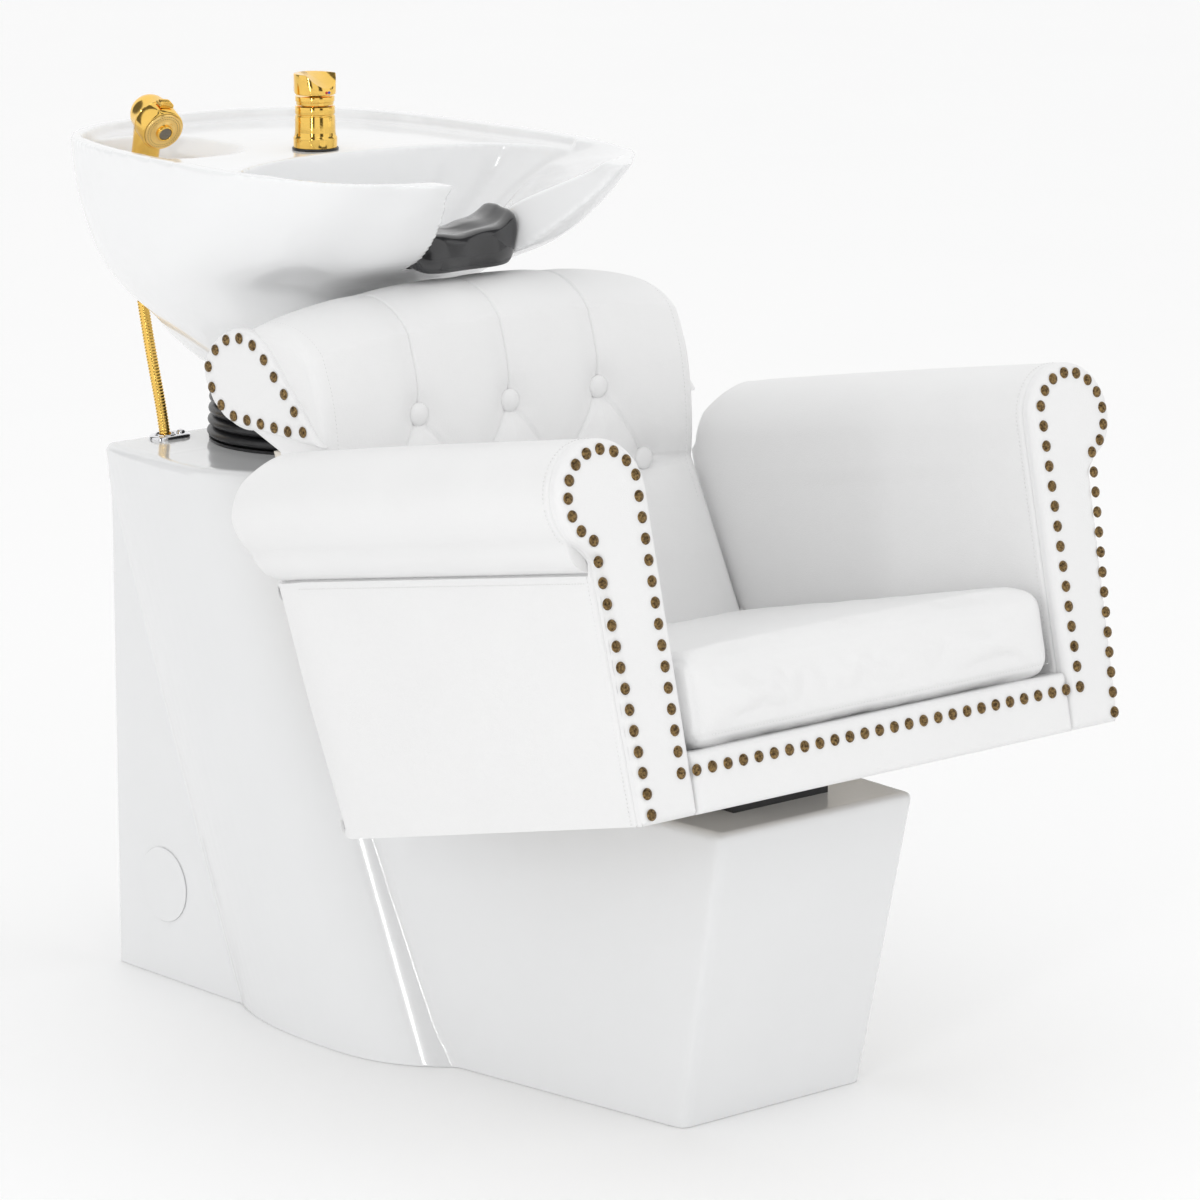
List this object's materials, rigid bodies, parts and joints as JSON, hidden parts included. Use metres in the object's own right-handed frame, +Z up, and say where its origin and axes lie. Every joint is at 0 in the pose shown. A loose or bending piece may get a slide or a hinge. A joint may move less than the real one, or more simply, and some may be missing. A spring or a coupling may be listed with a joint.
{
  "type": "shampoo backwash unit",
  "caption": "Salon shampoo unit: tilting ceramic bowl with lever tap and hand shower behind an upholstered armchair on one moulded base",
  "frame": {"origin": "on the floor at the centre of the floor bolt pattern and of the base footprint", "axes": "+Z up, the sitter faces -Y with the bowl behind at +Y, X = 0 is the mid plane, +X is the sitter's left"},
  "size_m": [0.746, 1.1827, 0.992],
  "materials": {
    "gelcoat": "white high-gloss gelcoat",
    "frame_steel": "grey powder coat",
    "black_steel": "satin black paint",
    "polymer": "acetal",
    "zinc_steel": "zinc plated",
    "pipe_plastic": "grey waste pipe",
    "black_rubber": "semi-gloss moulded rubber",
    "plumbing_brass": "raw brass",
    "chrome": "polished",
    "white_leather": "smooth white upholstery leatherette",
    "plywood": "raw plywood",
    "antique_brass": "antique brass, dark patina",
    "glazed_white": "glossy white glaze",
    "black_gel": "glossy moulded gel",
    "gold": "polished gold plate"
  },
  "bodies": {
    "base": {"base_shell": "gelcoat", "side_cap": "gelcoat", "floor_plate": "frame_steel", "bowl_posts": "frame_steel", "tilt_bushes": "polymer", "seat_post": "frame_steel", "seat_beam": "frame_steel", "seat_mount": "black_steel", "seat_bolts": "zinc_steel", "waste_pipe": "pipe_plastic", "waste_sleeve": "black_rubber", "supply_valves": "plumbing_brass", "bellows": "black_rubber", "hose_guide": "chrome", "guide_screw": "chrome", "arm_left": "white_leather", "arm_right": "white_leather", "arm_front_left": "white_leather", "arm_front_right": "white_leather", "front_rail": "white_leather", "seat_pan": "plywood", "seat_cushion": "white_leather", "backrest": "white_leather", "back_board": "plywood", "back_end_left": "white_leather", "back_end_right": "white_leather", "back_buttons": "white_leather", "nails_arm_left": "antique_brass", "nails_arm_right": "antique_brass", "nails_rail": "antique_brass", "nails_back_left": "antique_brass", "nails_back_right": "antique_brass"},
    "bowl_unit": {"bowl": "glazed_white", "neck_rest": "black_gel", "drain_tail": "plumbing_brass", "tilt_plate": "frame_steel", "tilt_pins": "zinc_steel", "bowl_studs": "zinc_steel", "mixer_gasket": "black_rubber", "mixer_body": "gold", "mixer_nut": "plumbing_brass", "hose_union": "plumbing_brass", "handset_holder": "gold"},
    "strainer_unit": {"strainer": "chrome"},
    "mixer_swivel": {"cartridge": "polymer"},
    "lever_unit": {"mixer_lever": "gold"},
    "handset": {"handset_body": "gold", "spray_face": "gold", "aerator": "gold", "hose_nut": "gold", "hose": "gold"},
    "selector": {"spray_selector": "gold"}
  },
  "joints": [
    {"name": "bowl_tilt", "type": "hinge", "parent": "base", "child": "bowl_unit", "pos_m": [0, 0.295, 0.603], "axis": [-1, 0, 0], "range_deg": [0, 10], "deforming": ["bellows", "waste_sleeve", "hose"]},
    {"name": "strainer_lift", "type": "slide", "parent": "bowl_unit", "child": "strainer_unit", "axis": [0, 0, 1], "range_m": [0, 0.12]},
    {"name": "mixer_turn", "type": "hinge", "parent": "bowl_unit", "child": "mixer_swivel", "pos_m": [0, 0.302, 0.94], "axis": [0, 0, 1], "range_deg": [-45, 45]},
    {"name": "mixer_lift", "type": "hinge", "parent": "mixer_swivel", "child": "lever_unit", "pos_m": [0, 0.302, 0.973], "axis": [-1, 0, 0], "range_deg": [0, 20]},
    {"name": "handset_pull", "type": "slide", "parent": "bowl_unit", "child": "handset", "axis": [0.09, -0.12, 0.9887], "range_m": [0, 0.1], "deforming": ["hose"]},
    {"name": "selector_slide", "type": "slide", "parent": "handset", "child": "selector", "axis": [0.1581, 0.8828, 0.4424], "range_m": [0, 0.005]}
  ]
}
